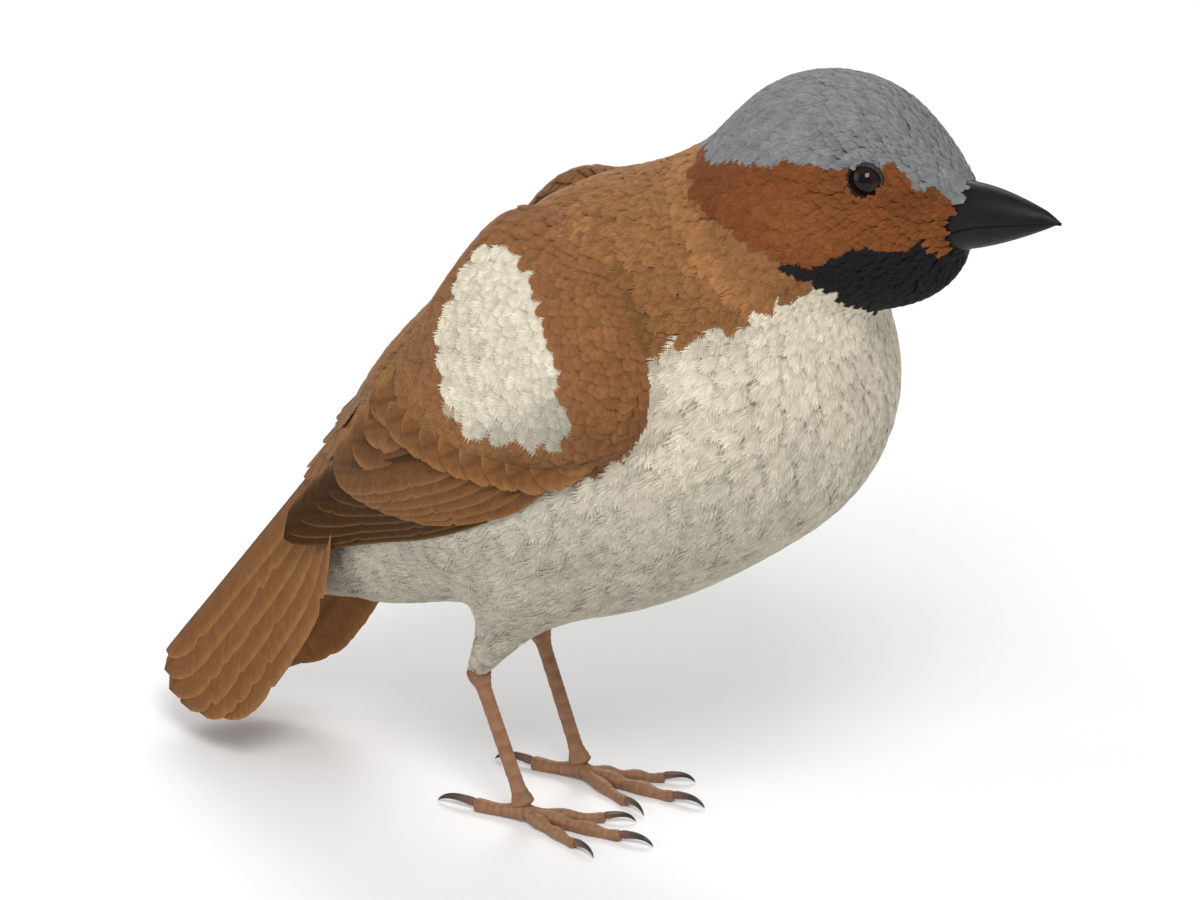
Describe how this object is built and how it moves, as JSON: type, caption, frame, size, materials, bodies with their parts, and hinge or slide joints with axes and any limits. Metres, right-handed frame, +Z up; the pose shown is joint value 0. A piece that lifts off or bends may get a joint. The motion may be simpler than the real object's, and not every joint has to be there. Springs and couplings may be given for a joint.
{
  "type": "house sparrow",
  "caption": "Life-size male house sparrow, standing still with a level head and a lowered tail.",
  "frame": {"origin": "on the floor, under the middle of the bird's bounding box", "axes": "+X forward, the way the bird faces; +Y to its left; +Z up"},
  "size_m": [0.1244, 0.0494, 0.1037],
  "materials": {
    "plumage_head": "matte",
    "plumage_body": "matte",
    "plumage_wing": "matte",
    "flight_feather": "satin",
    "bill": "satin",
    "eye": "gloss",
    "leg_scale": "satin",
    "claw": "satin"
  },
  "bodies": {
    "root": {"head": "plumage_head", "neck": "plumage_body", "trunk": "plumage_body", "tail": "flight_feather", "bill_upper": "bill", "bill_lower": "bill", "eye_left": "eye", "wing_left_coverts": "plumage_wing", "wing_left_flight": "flight_feather", "thigh_left": "plumage_body", "tarsus_left": "leg_scale", "toe_inner_left": "leg_scale", "claw_inner_left": "claw", "toe_middle_left": "leg_scale", "claw_middle_left": "claw", "toe_outer_left": "leg_scale", "claw_outer_left": "claw", "toe_hind_left": "leg_scale", "claw_hind_left": "claw", "eye_right": "eye", "wing_right_coverts": "plumage_wing", "wing_right_flight": "flight_feather", "thigh_right": "plumage_body", "tarsus_right": "leg_scale", "toe_inner_right": "leg_scale", "claw_inner_right": "claw", "toe_middle_right": "leg_scale", "claw_middle_right": "claw", "toe_outer_right": "leg_scale", "claw_outer_right": "claw", "toe_hind_right": "leg_scale", "claw_hind_right": "claw"}
  },
  "joints": []
}
